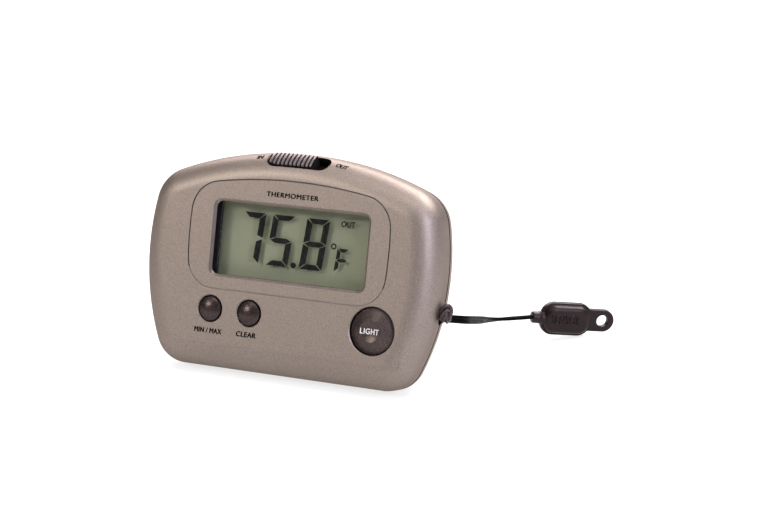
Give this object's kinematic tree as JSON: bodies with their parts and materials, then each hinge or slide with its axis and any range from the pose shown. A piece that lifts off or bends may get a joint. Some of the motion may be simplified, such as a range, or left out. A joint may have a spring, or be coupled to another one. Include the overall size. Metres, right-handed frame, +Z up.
{
  "type": "indoor outdoor thermometer",
  "caption": "Digital maximum-minimum thermometer: domed desk case with a display, push buttons, a top slide switch, a fold-out stand and a wired outdoor sensor.",
  "frame": {"origin": "on the table, under the middle of the leaning case and its open stand, the free sensor lead left out", "axes": "+X to the display's right as it is read, -Y the way the display faces, +Z up; the case leans back 15 degrees about X and stands on its lower back edge and the stand's toe"},
  "size_m": [0.1422, 0.0997, 0.0757],
  "materials": {
    "case_paint": "satin metallic paint, pewter",
    "rear_plastic": "fine texture",
    "button_plastic": "satin, dark pewter",
    "black_plastic": "matt",
    "white_plastic": "matt",
    "clear_window": "clear, glossy",
    "lcd_glass": "green-grey, satin",
    "seal_rubber": "matt",
    "board": "green solder mask",
    "screw_steel": "zinc plated",
    "contact_steel": "nickel plated",
    "battery_can": "printed sleeve",
    "black_wire": "satin",
    "red_wire": "satin",
    "sensor_rubber": "satin"
  },
  "bodies": {
    "case": {"front_shell": "case_paint", "rear_shell": "rear_plastic", "case_screws": "screw_steel", "display_lens": "clear_window", "lcd_frame": "black_plastic", "lcd_cell": "lcd_glass", "light_guide": "white_plastic", "backlight_led": "white_plastic", "zebra_connector": "seal_rubber", "circuit_board": "board", "pcb_screws": "screw_steel", "controller_chip": "black_plastic", "crystal": "screw_steel", "capacitor": "black_plastic", "indoor_thermistor": "black_plastic", "min_max_switch": "black_plastic", "clear_switch": "black_plastic", "light_switch": "black_plastic", "in_out_switch": "screw_steel", "unit_switch": "screw_steel", "battery": "battery_can", "battery_spring": "contact_steel", "battery_contact": "contact_steel", "battery_wire_neg": "black_wire", "battery_wire_pos": "red_wire", "stand_pin": "screw_steel", "sensor_lead": "black_wire", "lead_knot": "black_wire", "sensor_body": "sensor_rubber", "sensor_bead": "black_plastic"},
    "min_max": {"min_max_button": "button_plastic", "min_max_plunger": "white_plastic"},
    "clear": {"clear_button": "button_plastic", "clear_plunger": "white_plastic"},
    "light": {"light_button": "button_plastic", "light_plunger": "white_plastic"},
    "in_out": {"in_out_knob": "button_plastic", "in_out_lever": "white_plastic"},
    "unit": {"unit_knob": "button_plastic"},
    "door": {"battery_door": "rear_plastic"},
    "stand": {"stand_leg": "rear_plastic"}
  },
  "joints": [
    {"name": "min_max_press", "type": "slide", "parent": "case", "child": "min_max", "axis": [0, 0.9659, -0.2588], "range_m": [0, 0.0006], "stiffness_N_per_m": 1500},
    {"name": "clear_press", "type": "slide", "parent": "case", "child": "clear", "axis": [0, 0.9659, -0.2588], "range_m": [0, 0.0006], "stiffness_N_per_m": 1500},
    {"name": "light_press", "type": "slide", "parent": "case", "child": "light", "axis": [0, 0.9659, -0.2588], "range_m": [0, 0.0008], "stiffness_N_per_m": 1500},
    {"name": "in_out_slide", "type": "slide", "parent": "case", "child": "in_out", "axis": [1, 0, 0], "range_m": [0, 0.004]},
    {"name": "unit_slide", "type": "slide", "parent": "case", "child": "unit", "axis": [1, 0, 0], "range_m": [0, 0.002]},
    {"name": "battery_door_lift", "type": "slide", "parent": "case", "child": "door", "axis": [0, 0.9659, -0.2588], "range_m": [0, 0.012]},
    {"name": "stand_fold", "type": "hinge", "parent": "case", "child": "stand", "pos_m": [0.00184, 0.01008, 0.03127], "axis": [-1, 0, 0], "range_deg": [0, 30]}
  ]
}
